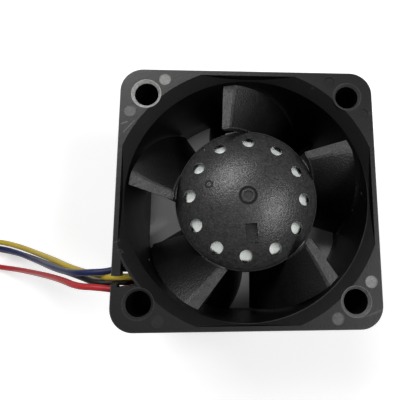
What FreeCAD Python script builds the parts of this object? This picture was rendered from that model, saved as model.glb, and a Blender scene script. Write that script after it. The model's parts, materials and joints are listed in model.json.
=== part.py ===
import FreeCAD, Part
import math
import os
from FreeCAD import Vector

# Axial fan module, 40 x 40 x 28 mm, with a four-pole outer-rotor motor on two ball bearings.
# It lies on its outlet face: z = 0 is the outlet face, the inlet faces up, and the rotor turns about z.
# All lengths are in millimetres and all angles in degrees, counted from +X towards +Y.

os.makedirs("parts", exist_ok=True)

# ---------------------------------------------------------------- frame
frameSide = 40.0
frameDepth = 28.0
cornerRadius = 3.5
flangeThickness = 1.8
mountInset = 4.0
mountHoleRadius = 1.85
mountChamfer = 0.4
cornerTubeWall = 1.1
mouthBossWall = 0.5
barrelWall = 0.8
tipGap = 0.45
inletSpread = 1.6
inletDepth = 1.9
outletStep = 0.5
outletWall = 0.5
outletSpread = 0.9
outletDepth = 10.0
rimStrip = 0.72
outletStrip = 0.4
mouthLip = 0.35
ejectorMarkRadius = 0.85
ejectorMarkDepth = 0.08
ejectorMarkInset = 1.6
ejectorMarkCorner = 6.85

# ---------------------------------------------------------------- motor base and stator vanes
baseRadius = 11.9
baseWall = 1.0
baseRise = 0.5
baseFloor = 1.2
baseWallTop = 5.4
baseRound = 0.4
bossWall = 1.0
bossTop = 5.0
vaneCount = 6
vanePitch = 52.4
vaneFirst = 268.0
vaneTop = 6.6
vaneLean = 4.6
vaneTipLean = 5.4
vaneSweep = 0.042
vaneBend = 0.6
vaneBendHeight = 3.2
vaneThickness = 1.0
vaneEndThickness = 0.8
vaneHubGap = 0.6
vaneBeyond = 1.5
channelAngle = 211.0
channelStrutWidth = 6.6
channelStrutTop = 4.4
channelWidth = 5.0
channelDepth = 3.0
channelEnd = 0.65
channelBite = 2.4

# ---------------------------------------------------------------- wire notch in the inlet flange
hookWidth = 1.3
hookTopInset = 10.7
hookTipInset = 8.0
notchInset = 6.4
nubWidth = 0.9
nubRise = 0.55
nubRound = 0.33

# ---------------------------------------------------------------- impeller
hubRadius = 11.75
hubWall = 1.2
hubGap = 0.6
tipInset = 1.35
noseRecess = 0.4
noseRise = 5.237
noseShoulder = 0.8
noseSkin = 2.0
hubHoleCount = 12
hubHoleRadius = 1.0
hubHoleCircle = 9.25
hubHolePhase = 88.6
cavityOuter = 7.4
cavityInner = 4.2
gateRingRadius = 1.3
gateRingWidth = 0.3
gatePitRadius = 0.75
gateDepth = 0.15
markWidth = 1.85
markHeight = 2.85
markDrop = 1.85
markX = 0.6
markY = -5.7
markTurn = 5.5
bladeCount = 5
bladeAngle = 84.0
bladeLeadDrop = 2.3
bladeLeadSide = 4.8
bladeBendDrop = 6.9
bladeBendSide = -1.6
bladeTrailBottom = 8.1
bladeTrailSide = -5.3
bladeTipLead = (0.55, 0.1)
bladeTipBend = (-2.2, 1.4)
bladeTipTrail = (-4.0, 0.6)
bladeRoot = 0.2
bladeThickness = 1.15
bladeFlat = 0.2
bladeTrailThickness = 0.7
ledgeStart = 107.8
ledgeSweep = 15.8
ledgeWidth = 0.95
ledgeRise = 0.2
ledgeHeight = 1.0

# ---------------------------------------------------------------- rotor and shaft
yokeWall = 0.55
yokeDrop = 5.1
yokeLift = 0.6
yokeCorner = 0.8
magnetWall = 1.05
magnetBottom = 7.4
magnetDrop = 3.1
shaftRadius = 1.5
shaftDrop = 2.2
shaftEndGap = 0.15
bushRadius = 2.4
bushFlangeRadius = 3.3
bushFlangeHeight = 0.6
bushLength = 1.7
springWireHeight = 0.2
springWireWidth = 0.4
springTurns = 2.0
springPlay = 0.05
springClear = 0.1
grooveWidth = 0.4
grooveDepth = 0.25
clipRadius = 2.4
clipPlay = 0.02
clipMouth = 2.25
washerThickness = 0.3
washerRadius = 2.0
washerPlay = 0.03

# ---------------------------------------------------------------- ball bearings
bearingOuter = 3.5
bearingWidth = 3.0
innerRaceWall = 0.6
outerRaceWall = 0.6
ballRadius = 0.55
ballCount = 7
ballPitch = 2.5
ballClearance = 0.02
cageGap = 0.1
cageWidth = 1.5
shieldThickness = 0.12
shieldInset = 0.1
rearBearingBottom = 2.6
springSpace = 1.8
sleeveWall = 0.7
sleeveShoulder = 0.6

# ---------------------------------------------------------------- stator
poleCount = 4
airGap = 0.35
coreBottom = 9.0
coreDrop = 3.4
coreRing = 1.0
poleNeck = 3.2
poleShoe = 0.9
poleSpan = 76.0
insulatorSkin = 0.4
insulatorSetBack = 0.1
insulatorCollar = 1.2
coilLayer = 1.0
coilRound = 0.8
coilSetOff = 0.4
coilToShoe = 0.6
boardLift = 1.2
boardThickness = 0.8
boardPlay = 0.4
boardHolePlay = 0.3
chipLength = 3.9
chipWidth = 3.0
chipHeight = 1.0
chipSetIn = 0.1
chipAngle = 0.0
legCount = 4
legPitch = 0.95
legWidth = 0.36
legReach = 0.5
legHeight = 0.35
sensorSide = 1.6
sensorHeight = 1.0
sensorInset = 1.1
sensorAngle = 45.0
capacitorLength = 2.0
capacitorWidth = 1.25
capacitorHeight = 0.9
resistorLength = 1.6
resistorWidth = 0.8
resistorHeight = 0.45
capacitorAngles = (135.0, 155.0)
resistorAngles = (225.0, 241.0, 315.0)
pinRadius = 0.25
pinCount = 3
pinTail = 0.6
pinToBore = 0.85
pinToPart = 0.425

# ---------------------------------------------------------------- leads and connector
wireRadius = 0.5
wirePitch = 1.12
padToPin = 0.25
solderGap = 0.05
riseBeyond = 1.55
shiftHeight = 4.0
insideBends = [1.5, 3.0, 3.0, 1.0]
routeHalf = 20.0
coilX = -67.5
coilY = 3.4
coilMeanRadius = 12.15
coilBundle = 4.6
coilHeight = 2.3
coilEdge = 0.7
coilLift = 0.45
tieWidth = 2.4
tieThickness = 0.3
tieClearance = 0.12
plugRear = -81.0
plugY = -9.9
plugPitch = 2.54
plugPlay = 0.2
plugLength = 12.7
plugStraight = 2.6
plugHeight = 5.6
cavityWidth = 1.9
cavityHeight = 2.6
mouthWidth = 1.0
mouthDepth = 2.4
plugRib = 0.7
ribLength = 7.6
plugRound = 0.3
contactWidth = 1.5
contactHeight = 2.1
contactWall = 0.25
contactCrimp = 3.0

# ---------------------------------------------------------------- sizes that follow
half = frameSide / 2
tipRadius = half - tipInset
vaneReach = half + vaneBeyond
wireRiseAt = half + riseBeyond
channelReach = wireRiseAt + channelEnd
hookTop = hookTopInset - half
hookTip = hookTipInset - half
notchEnd = notchInset - half
mountHalf = half - mountInset
cornerTubeRadius = mountHoleRadius + cornerTubeWall
mouthBossRadius = mountHoleRadius + mouthBossWall
throatRadius = tipRadius + tipGap
barrelRadius = throatRadius + barrelWall
inletRadius = throatRadius + inletSpread
rearRadius = throatRadius + outletStep
outletRadius = rearRadius + outletSpread
rimFlat = half - rimStrip
outletFlat = half - outletStrip
flangeUnder = frameDepth - flangeThickness
inletStart = frameDepth - inletDepth
baseFloorTop = baseRise + baseFloor
sleeveRadius = bearingOuter + sleeveWall
bossRadius = sleeveRadius + bossWall
hubInner = hubRadius - hubWall
hubBottom = baseWallTop + hubGap
noseTop = frameDepth - noseRecess
yokeTop = noseTop - yokeDrop
magnetTop = yokeTop - magnetDrop
shaftTop = noseTop - shaftDrop
bladeLeadTop = frameDepth - bladeLeadDrop
bladeBendTop = frameDepth - bladeBendDrop
noseRadius = (hubRadius**2 + noseRise**2) / (2 * noseRise)
noseCentre = noseTop - noseRadius
magnetOuter = hubInner - yokeWall
magnetInner = magnetOuter - magnetWall
yokeBottom = hubBottom + yokeLift
coreRadius = magnetInner - airGap
coreTop = magnetTop - coreDrop
boardBottom = baseFloorTop + boardLift
boardTop = boardBottom + boardThickness
bushBottom = yokeTop + bushFlangeHeight - bushLength
frontBearingBottom = bushBottom - springSpace - bearingWidth
boardOuter = baseRadius - baseWall - boardPlay
boardHole = bossRadius + boardHolePlay
chipRadius = (boardHole + boardOuter) / 2 - chipSetIn
sensorRadius = boardOuter - sensorInset
shoeInner = coreRadius - poleShoe
coilInner = sleeveRadius + coreRing + coilSetOff
coilOuter = shoeInner - coilToShoe
pinCircle = boardHole + pinToBore + pinRadius
partCircle = pinCircle + pinRadius + pinToPart + capacitorWidth / 2
padRadius = pinCircle + pinRadius + padToPin + wireRadius
innerRaceRadius = shaftRadius + innerRaceWall
outerRaceBore = bearingOuter - outerRaceWall
sleeveBottom = baseFloorTop
sleeveTop = frontBearingBottom + bearingWidth
clipTop = rearBearingBottom - washerThickness
wireLevel = boardBottom - wireRadius - solderGap
coilTop = coilLift + coilHeight
coilInside = coilMeanRadius - coilBundle / 2
coilOutside = coilMeanRadius + coilBundle / 2
plugWidth = 4 * plugPitch + 2 * plugPlay
leadShift = routeHalf - half
coilMiddle = Vector(coilX + leadShift, coilY + leadShift, 0)
plugMiddle = plugY + leadShift
plugEnd = plugRear + leadShift
plugFront = plugEnd - plugLength
contactBottom = plugHeight / 2 - cavityHeight / 2


# ---------------------------------------------------------------- small helpers
def polar(radius, angle, z=0.0):
    turn = math.radians(angle)
    return Vector(radius * math.cos(turn), radius * math.sin(turn), z)


def disc(radius, bottom, top, x=0.0, y=0.0):
    return Part.makeCylinder(radius, top - bottom, Vector(x, y, bottom))


def ring(inner, outer, bottom, top):
    return disc(outer, bottom, top).cut(disc(inner, bottom, top))


def block(xLow, xHigh, yLow, yHigh, zLow, zHigh):
    return Part.makeBox(xHigh - xLow, yHigh - yLow, zHigh - zLow, Vector(xLow, yLow, zLow))


def turned(shape, angle):
    copy = shape.copy()
    copy.rotate(Vector(0, 0, 0), Vector(0, 0, 1), angle)
    return copy


def spun(shape, count, first=0.0):
    """The same shape set round the axis at even angles."""
    return [turned(shape, first + 360.0 / count * k) for k in range(count)]


def fused(shapes):
    whole = shapes[0].multiFuse(shapes[1:]) if len(shapes) > 1 else shapes[0]
    return whole.removeSplitter()


def revolved(edges):
    face = Part.Face(Part.Wire(edges))
    return face.revolve(Vector(0, 0, 0), Vector(0, 0, 1), 360)


def flare(narrow, wide, zNarrow, zWide):
    """Arc that leaves a straight bore without a kink and opens to a wider mouth."""
    rise = abs(zWide - zNarrow)
    spread = wide - narrow
    radius = (spread**2 + rise**2) / (2 * spread)
    part = math.asin(min(1.0, rise / radius)) / 2
    heading = 1 if zWide > zNarrow else -1
    middle = Vector(narrow + radius * (1 - math.cos(part)), 0, zNarrow + heading * radius * math.sin(part))
    return Part.Arc(Vector(narrow, 0, zNarrow), middle, Vector(wide, 0, zWide)).toShape()


def line(start, end):
    return Part.makeLine(start, end)


def hourglass(front, waist, rearWaist, rear, rearTop):
    """Solid of a duct with a bevelled inlet and a flared outlet; its rear part is wider for the vanes."""
    edges = [
        line(Vector(0, 0, 0), Vector(rear, 0, 0)),
        flare(rearWaist, rear, rearTop, 0),
        line(Vector(rearWaist, 0, rearTop), Vector(waist, 0, rearTop)),
        line(Vector(waist, 0, rearTop), Vector(waist, 0, inletStart)),
        line(Vector(waist, 0, inletStart), Vector(front, 0, frameDepth)),
        line(Vector(front, 0, frameDepth), Vector(0, 0, frameDepth)),
        line(Vector(0, 0, frameDepth), Vector(0, 0, 0)),
    ]
    return revolved(edges)


def uprights(shape):
    """Straight edges that run along z."""
    return [e for e in shape.Edges if abs(e.tangentAt(e.FirstParameter).z) > 0.9]


def alongX(shape):
    """Straight edges that run along x."""
    return [e for e in shape.Edges if abs(e.tangentAt(e.FirstParameter).x) > 0.9]


def rims(shape, radius, height):
    """Round edges of one radius at one height."""
    found = []
    for e in shape.Edges:
        level = abs(e.BoundBox.ZMin - height) + abs(e.BoundBox.ZMax - height)
        if level < 1e-3 and abs(e.BoundBox.XMax - radius) < 1e-3:
            found.append(e)
    return found


def squarePlate(bottom, top):
    plate = block(-half, half, -half, half, bottom, top)
    return plate.makeFillet(cornerRadius, uprights(plate))


def foilWire(along, angle, lead, bend, trail, leadThickness, trailThickness):
    """Closed outline of a blade section, in the plane that lies `along` from the axis."""

    def place(side, height):
        flat = polar(along, angle)
        cross = polar(side, angle + 90)
        return Vector(flat.x + cross.x, flat.y + cross.y, height)

    front = []
    back = []
    steps = 5
    for k in range(steps):
        u = k / (steps - 1)
        side = (1 - u) ** 2 * lead[0] + 2 * u * (1 - u) * bend[0] + u**2 * trail[0]
        height = (1 - u) ** 2 * lead[1] + 2 * u * (1 - u) * bend[1] + u**2 * trail[1]
        dSide = 2 * (1 - u) * (bend[0] - lead[0]) + 2 * u * (trail[0] - bend[0])
        dHeight = 2 * (1 - u) * (bend[1] - lead[1]) + 2 * u * (trail[1] - bend[1])
        size = math.hypot(dSide, dHeight)
        reach = (leadThickness + (trailThickness - leadThickness) * u) / 2
        front.append(place(side + dHeight / size * reach, height - dSide / size * reach))
        back.append(place(side - dHeight / size * reach, height + dSide / size * reach))
        if k == 0:
            nose = place(side - dSide / size * reach, height - dHeight / size * reach)
    frontCurve = Part.BSplineCurve()
    frontCurve.interpolate(front)
    backCurve = Part.BSplineCurve()
    backCurve.interpolate(back[::-1])
    edges = [
        frontCurve.toShape(),
        line(front[-1], back[-1]),
        backCurve.toShape(),
        Part.Arc(back[0], nose, front[0]).toShape(),
    ]
    return Part.Wire(edges)


def tube(points, radius, ends=None):
    """Round wire along straight runs that tangent arcs join; prints its radii and checks its volume."""
    runs = [points[k + 1] - points[k] for k in range(len(points) - 1)]
    edges = []
    start = points[0]
    length = 0.0
    radii = []
    for k in range(1, len(points) - 1):
        before = runs[k - 1]
        after = runs[k]
        turn = before.getAngle(after)
        trim = 0.45 * min(before.Length, after.Length)
        if ends:
            trim = min(trim, ends[k - 1] * math.tan(turn / 2))
        bendRadius = trim / math.tan(turn / 2)
        radii.append(round(bendRadius, 1))
        into = Vector(before).normalize()
        out = Vector(after).normalize()
        enter = points[k] - into * trim
        leave = points[k] + out * trim
        inward = (out - into).normalize()
        centre = points[k] + inward * (bendRadius / math.cos(turn / 2))
        middle = centre - inward * bendRadius
        edges.append(line(start, enter))
        edges.append(Part.Arc(enter, middle, leave).toShape())
        length += (enter - start).Length + bendRadius * turn
        start = leave
    edges.append(line(start, points[-1]))
    length += (points[-1] - start).Length
    path = Part.Wire(edges)
    section = Part.Wire([Part.makeCircle(radius, points[0], runs[0])])
    solid = path.makePipeShell([section], True, True)
    share = solid.Volume / (math.pi * radius**2 * length)
    print("tube length %.1f, radii %s, volume share %.4f" % (length, radii, share))
    return solid


nodes = {}


def keep(name, *solids):
    nodes[name] = solids[0] if len(solids) == 1 else Part.makeCompound(list(solids))


# ---------------------------------------------------------------- frame casting
def channelCut(width, reach, top):
    """The groove that the four wires lie in, from under the circuit board to the corner pocket."""
    return turned(block(baseRadius - channelBite, reach, -width / 2, width / 2, -1, top), channelAngle)


def statorVane(angle):
    """Fixed guide vane: its top meets the swirl, it ends nearly axial, and it sweeps back at the wall."""

    def section(along):
        out = (along - baseRadius) / (throatRadius - baseRadius)
        sweep = vaneSweep * (along - baseRadius) ** 2
        lean = vaneLean + (vaneTipLean - vaneLean) * out
        lead = (-sweep - lean, vaneTop)
        bend = (-sweep - vaneBend, vaneBendHeight)
        trail = (-sweep, baseRise)
        return foilWire(along, angle, lead, bend, trail, vaneThickness, vaneEndThickness)

    inner = baseRadius - 2 * baseWall
    stations = [inner + (vaneReach - inner) * k / 3 for k in range(4)]
    return Part.makeLoft([section(s) for s in stations], True, False)


def ductOutside():
    """The duct's outer surface as a solid, before the frame's flat sides trim it."""
    front = inletRadius + mouthLip
    rear = outletRadius + mouthLip
    return hourglass(front, barrelRadius, rearRadius + outletWall, rear, outletDepth + outletWall)


def statorRoom():
    """Where vanes and the channel strut may stand: from inside the cup's wall to inside the duct's wall."""
    skin = outletWall / 2
    rear = outletRadius + mouthLip / 2
    wall = hourglass(inletRadius, throatRadius + skin, rearRadius + skin, rear, outletDepth + skin)
    side = half - outletStrip / 2
    room = wall.common(block(-side, side, -side, side, 0, frameDepth))
    room = room.cut(disc(baseRadius - baseWall / 2, 0, baseWallTop))
    return room.cut(disc(hubRadius + vaneHubGap, baseWallTop, frameDepth))


def wireNotch():
    """Opening in the inlet flange between the mouth wall and the hook, down to the corner pocket."""
    window = block(-half + hookWidth, 0, notchEnd, hookTop, flangeUnder - 1, frameDepth + 1)
    slot = block(-half - 1, -half + hookWidth + 0.5, notchEnd, hookTip, flangeUnder - 1, frameDepth + 1)
    nub = block(-half, -half + nubWidth, notchEnd - 0.1, notchEnd + nubRise, flangeUnder, frameDepth)
    tip = [e for e in uprights(nub) if e.CenterOfMass.y > notchEnd]
    return window.cut(ductOutside()).fuse(slot).cut(nub.makeFillet(nubRound, tip))


def makeHousing():
    body = fused(
        [
            squarePlate(0, flangeThickness),
            squarePlate(flangeUnder, frameDepth),
            ductOutside().common(squarePlate(0, frameDepth)),
        ]
    )
    bore = hourglass(inletRadius, throatRadius, rearRadius, outletRadius, outletDepth)
    flats = block(-rimFlat, rimFlat, -rimFlat, rimFlat, 0, frameDepth)
    rearFlats = block(-outletFlat, outletFlat, -outletFlat, outletFlat, 0, outletDepth)
    body = body.cut(bore.common(flats.fuse(rearFlats)))
    corners = [Vector(x, y, 0) for x in (-mountHalf, mountHalf) for y in (-mountHalf, mountHalf)]
    tubes = [disc(cornerTubeRadius, 0, flangeUnder, c.x, c.y) for c in corners]
    bosses = [disc(mouthBossRadius, flangeUnder, frameDepth, c.x, c.y) for c in corners]
    body = fused([body] + tubes + bosses)
    drills = []
    for c in corners:
        drills.append(disc(mountHoleRadius, -1, frameDepth + 1, c.x, c.y))
        wide = mountHoleRadius + mountChamfer
        drills.append(Part.makeCone(wide, mountHoleRadius, mountChamfer, Vector(c.x, c.y, 0)))
        drills.append(
            Part.makeCone(mountHoleRadius, wide, mountChamfer, Vector(c.x, c.y, frameDepth - mountChamfer))
        )
    body = body.cut(drills)

    cup = disc(baseRadius, baseRise, baseWallTop).cut(disc(baseRadius - baseWall, baseFloorTop, baseWallTop))
    cup = cup.makeFillet(baseRound, rims(cup, baseRadius, baseRise))
    boss = disc(bossRadius, baseFloorTop - 0.1, bossTop)
    side = channelStrutWidth / 2
    strut = turned(block(0, vaneReach, -side, side, baseRise, channelStrutTop), channelAngle)
    stays = [strut] + [statorVane(vaneFirst + vanePitch * k) for k in range(vaneCount)]
    room = statorRoom()
    body = fused([body, cup, boss] + [stay.common(room) for stay in stays])
    body = body.cut(disc(sleeveRadius, sleeveBottom, bossTop))
    body = body.cut(channelCut(channelWidth, channelReach, channelDepth))
    body = body.cut(wireNotch())

    marks = []
    edge = half - ejectorMarkInset
    along = half - ejectorMarkCorner
    for a in (-1, 1):
        for b in (-1, 1):
            for x, y in ((a * along, b * edge), (a * edge, b * along)):
                if x < 0 and y < 0 and abs(x) > abs(y):
                    continue
                marks.append(disc(ejectorMarkRadius, frameDepth - ejectorMarkDepth, frameDepth + 1, x, y))
    return body.cut(marks)


keep("housing", makeHousing())


# ---------------------------------------------------------------- impeller
def bladeSection(along):
    """A blade section leans over at the inlet and straightens towards the outlet, more so at the hub."""
    out = (along - hubRadius) / (tipRadius - hubRadius)
    lead = (bladeLeadSide + bladeTipLead[0] * out, bladeLeadTop + bladeTipLead[1] * out)
    bend = (bladeBendSide + bladeTipBend[0] * out, bladeBendTop + bladeTipBend[1] * out)
    trail = (bladeTrailSide + bladeTipTrail[0] * out, bladeTrailBottom + bladeTipTrail[1] * out)
    return foilWire(along, bladeAngle, lead, bend, trail, bladeThickness, bladeTrailThickness)


def sphereHeight(radius):
    """Height of the nose's sphere above its centre at a distance from the axis."""
    return math.sqrt(noseRadius**2 - radius**2)


def makeImpeller():
    nose = Part.makeSphere(noseRadius, Vector(0, 0, noseCentre))
    hub = disc(hubRadius, hubBottom, noseTop + 1).common(nose)
    hub = hub.makeFillet(noseShoulder, rims(hub, hubRadius, noseCentre + sphereHeight(hubRadius)))

    span = tipRadius - hubRadius
    stations = [hubRadius - hubWall, hubRadius + span / 2, tipRadius + tipGap]
    blade = Part.makeLoft([bladeSection(s) for s in stations], True, False)
    blade = blade.common(ring(hubRadius - bladeRoot, tipRadius, hubBottom, bladeLeadTop + bladeFlat))
    chord = 2 * hubRadius * math.sin(math.radians(ledgeSweep / 2))
    top = noseCentre + sphereHeight(hubRadius) + ledgeRise
    ledge = block(hubRadius - ledgeWidth, hubRadius, -chord / 2, chord / 2, top - ledgeHeight, top)
    ledges = spun(ledge, bladeCount, ledgeStart - ledgeSweep / 2)
    hub = fused([hub] + ledges + spun(blade, bladeCount))

    cuts = [disc(hubInner, hubBottom - 1, yokeTop)]
    hollow = disc(cavityOuter, yokeTop, noseTop).cut(disc(cavityInner, yokeTop, noseTop))
    cuts.append(hollow.common(Part.makeSphere(noseRadius - noseSkin, Vector(0, 0, noseCentre))))
    cuts.append(disc(bushFlangeRadius, yokeTop - 1, yokeTop + bushFlangeHeight))
    cuts.append(disc(shaftRadius, yokeTop - 1, shaftTop))
    for k in range(hubHoleCount):
        spot = polar(hubHoleCircle, hubHolePhase - 360.0 / hubHoleCount * k)
        cuts.append(disc(hubHoleRadius, yokeTop - 0.5, frameDepth, spot.x, spot.y))
    cuts.append(ring(gateRingRadius - gateRingWidth, gateRingRadius, noseTop - gateDepth, frameDepth))
    cuts.append(disc(gatePitRadius, noseTop - 2 * gateDepth, frameDepth))
    side = markWidth / 2
    end = markHeight / 2
    mark = turned(block(-side, side, -end, end, noseTop - markDrop, frameDepth), markTurn)
    mark.translate(Vector(markX, markY, 0))
    cuts.append(mark)
    return hub.cut(cuts)


keep("impeller", makeImpeller())


# ---------------------------------------------------------------- rotor: yoke, magnet, bush, shaft
def makeYoke():
    cup = disc(hubInner, yokeBottom, yokeTop)
    cup = cup.makeFillet(yokeCorner, rims(cup, hubInner, yokeTop))
    cup = cup.cut(disc(magnetOuter, yokeBottom - 1, yokeTop - yokeWall))
    return cup.cut(disc(bushRadius, yokeBottom, yokeTop + 1))


def makeShaft():
    rod = disc(shaftRadius, sleeveBottom + shaftEndGap, shaftTop)
    groove = ring(shaftRadius - grooveDepth, shaftRadius + 1, clipTop - grooveWidth, clipTop)
    return rod.cut(groove)


def makeSpring():
    """Flat-wire preload spring between the bush and the front bearing's inner race."""
    high = springWireHeight / 2
    bottom = sleeveTop + high + springPlay
    top = bushBottom - high - springPlay
    inner = shaftRadius + springClear
    outer = inner + springWireWidth
    helix = Part.makeHelix((top - bottom) / springTurns, top - bottom, inner)
    helix.translate(Vector(0, 0, bottom))
    corners = [
        Vector(inner, 0, bottom - high),
        Vector(outer, 0, bottom - high),
        Vector(outer, 0, bottom + high),
        Vector(inner, 0, bottom + high),
    ]
    section = Part.makePolygon(corners + corners[:1])
    return Part.Wire(helix).makePipeShell([section], True, True)


def makeClip():
    bottom = clipTop - grooveWidth + clipPlay
    full = ring(shaftRadius - grooveDepth + clipPlay, clipRadius, bottom, clipTop - clipPlay)
    return full.cut(block(0, clipRadius + 1, -clipMouth / 2, clipMouth / 2, 0, clipTop + 1))


bushBody = ring(shaftRadius, bushRadius, bushBottom, yokeTop)
bushFlange = ring(shaftRadius, bushFlangeRadius, yokeTop, yokeTop + bushFlangeHeight)
keep("rotor_yoke", makeYoke())
keep("magnet_ring", ring(magnetInner, magnetOuter, magnetBottom, magnetTop))
keep("shaft", makeShaft())
keep("shaft_bush", fused([bushBody, bushFlange]))
keep("preload_spring", makeSpring())
keep("retaining_clip", makeClip())
keep("clip_washer", ring(shaftRadius + washerPlay, washerRadius, clipTop, rearBearingBottom))


# ---------------------------------------------------------------- ball bearings
def bearing(prefix, bottom):
    middle = bottom + bearingWidth / 2
    top = bottom + bearingWidth
    track = Part.makeTorus(ballPitch, ballRadius + ballClearance, Vector(0, 0, middle))
    keep(prefix + "_inner_race", ring(shaftRadius, innerRaceRadius, bottom, top).cut(track))
    keep(prefix + "_outer_race", ring(outerRaceBore, bearingOuter, bottom, top).cut(track))
    spots = [polar(ballPitch, 360.0 / ballCount * k, middle) for k in range(ballCount)]
    keep(prefix + "_balls", *[Part.makeSphere(ballRadius, spot) for spot in spots])
    low = middle - cageWidth / 2
    cage = ring(innerRaceRadius + cageGap, outerRaceBore - cageGap, low, low + cageWidth)
    reach = ballRadius + ballClearance
    pockets = []
    for k in range(ballCount):
        start = polar(ballPitch - reach, 360.0 / ballCount * k, middle)
        pockets.append(Part.makeCylinder(reach, 2 * reach, start, spots[k] - start))
    keep(prefix + "_cage", cage.cut(pockets))
    shields = [
        ring(innerRaceRadius + cageGap, outerRaceBore, z, z + shieldThickness)
        for z in (bottom + shieldInset, top - shieldInset - shieldThickness)
    ]
    keep(prefix + "_shields", *shields)


bearing("rear_bearing", rearBearingBottom)
bearing("front_bearing", frontBearingBottom)

sleeve = ring(bearingOuter - sleeveShoulder, sleeveRadius, sleeveBottom, sleeveTop)
for seat in (frontBearingBottom, rearBearingBottom):
    sleeve = sleeve.cut(disc(bearingOuter, seat, seat + bearingWidth))
sleeve = sleeve.cut(disc(bearingOuter, sleeveBottom, rearBearingBottom))
keep("bearing_sleeve", sleeve)


# ---------------------------------------------------------------- stator core, insulators, windings
def poleShape(bottom, top, shoeIn, shoeOut):
    """One laminated cross: a ring on the sleeve, straight necks, and shoes that face the magnet."""
    pieces = [ring(sleeveRadius, sleeveRadius + coreRing, bottom, top)]
    shoeRing = ring(shoeIn, shoeOut, bottom, top)
    wedge = block(0, shoeOut, -shoeOut, shoeOut, bottom, top)
    spread = (180 - poleSpan) / 2
    wedge = wedge.common(turned(block(0, 2 * shoeOut, 0, 2 * shoeOut, bottom, top), spread - 90))
    wedge = wedge.common(turned(block(0, 2 * shoeOut, -2 * shoeOut, 0, bottom, top), 90 - spread))
    pole = shoeRing.common(wedge)
    stem = block(sleeveRadius + coreRing / 2, shoeIn + poleShoe / 2, -poleNeck / 2, poleNeck / 2, bottom, top)
    pieces += spun(pole, poleCount)
    pieces += spun(stem, poleCount)
    return fused(pieces)


def winding(angle):
    """Copper wound round one insulated neck, with rounded outer corners."""
    inner = poleNeck / 2
    low = coreBottom - insulatorSkin
    high = coreTop + insulatorSkin
    side = inner + coilLayer
    outside = block(coilInner, coilOuter, -side, side, low - coilLayer, high + coilLayer)
    outside = outside.makeFillet(coilRound, alongX(outside))
    return turned(outside.cut(block(0, half, -inner, inner, low, high)), angle)


keep("stator_core", poleShape(coreBottom, coreTop, shoeInner, coreRadius))
collar = ring(sleeveRadius, sleeveRadius + insulatorCollar, bossTop, coreBottom)
skinRadius = coreRadius - insulatorSetBack
rearSkin = poleShape(coreBottom - insulatorSkin, coreBottom, shoeInner, skinRadius)
frontSkin = poleShape(coreTop, coreTop + insulatorSkin, shoeInner, skinRadius)
frontCollar = ring(sleeveRadius, sleeveRadius + coreRing, coreTop, coreTop + coilLayer + insulatorSkin)
keep("rear_insulator", fused([rearSkin, collar]))
keep("front_insulator", fused([frontSkin, frontCollar]))
for k in range(poleCount):
    keep("winding_%d" % (k + 1), winding(360.0 / poleCount * k))


# ---------------------------------------------------------------- circuit board and its components
def chipBody(length, width, height, radius, angle, bottom):
    body = block(radius - width / 2, radius + width / 2, -length / 2, length / 2, bottom, bottom + height)
    return turned(body, angle)


def driverChip():
    body = chipBody(chipLength, chipWidth, chipHeight, chipRadius, chipAngle, boardBottom - chipHeight)
    legs = []
    wide = legWidth / 2
    for k in range(legCount):
        y = (k - (legCount - 1) / 2) * legPitch
        for low in (chipRadius - chipWidth / 2 - legReach, chipRadius + chipWidth / 2):
            legs.append(block(low, low + legReach, y - wide, y + wide, boardBottom - legHeight, boardBottom))
    return fused([body] + [turned(leg, chipAngle) for leg in legs])


keep("circuit_board", ring(boardHole, boardOuter, boardBottom, boardTop))
keep("driver_chip", driverChip())
keep("hall_sensor", chipBody(sensorSide, sensorSide, sensorHeight, sensorRadius, sensorAngle, boardTop))
capacitors = [
    chipBody(capacitorLength, capacitorWidth, capacitorHeight, partCircle, angle, boardTop)
    for angle in capacitorAngles
]
resistors = [
    chipBody(resistorLength, resistorWidth, resistorHeight, partCircle, angle, boardTop)
    for angle in resistorAngles
]
keep("capacitors", *capacitors)
keep("resistors", *resistors)
pins = [polar(pinCircle, 360.0 / poleCount * (k + 0.5)) for k in range(pinCount)]
pinHoles = [disc(pinRadius, boardBottom - 1, boardTop + 1, p.x, p.y) for p in pins]
nodes["circuit_board"] = nodes["circuit_board"].cut(pinHoles)
pinFoot = boardBottom - pinTail
keep("winding_pins", *[disc(pinRadius, pinFoot, coreBottom - insulatorSkin, p.x, p.y) for p in pins])


# ---------------------------------------------------------------- leads inside the frame
# Each wire: place in the row under the board, height at which it starts to shift in the corner
# pocket, how far inside the frame's side it stands once shifted, and where it leaves: how far from
# the frame's -Y side and how far under the inlet flange.
insideRoutes = {
    "red": (1.5, 5.0, 1.1, 5.95, 0.55),
    "black": (0.5, 9.0, 1.9, 7.0, 1.35),
    "yellow": (-0.5, 13.0, 3.0, 7.8, 0.55),
    "blue": (-1.5, 17.0, 2.35, 9.0, 1.3),
}
exits = {}
for colour, (place, shiftStart, inset, fromSide, drop) in insideRoutes.items():
    inBoard = turned(Part.Vertex(Vector(padRadius, place * wirePitch, wireLevel)), channelAngle).Point
    corner = turned(Part.Vertex(Vector(wireRiseAt, place * wirePitch, wireLevel)), channelAngle).Point
    y = fromSide - half
    leave = flangeUnder - drop
    exits[colour] = Vector(-half, y, leave)
    route = [
        inBoard,
        corner,
        Vector(corner.x, corner.y, shiftStart),
        Vector(inset - half, y, shiftStart + shiftHeight),
        Vector(inset - half, y, leave),
        exits[colour],
    ]
    keep("inner_lead_" + colour, tube(route, wireRadius, insideBends))

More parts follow.
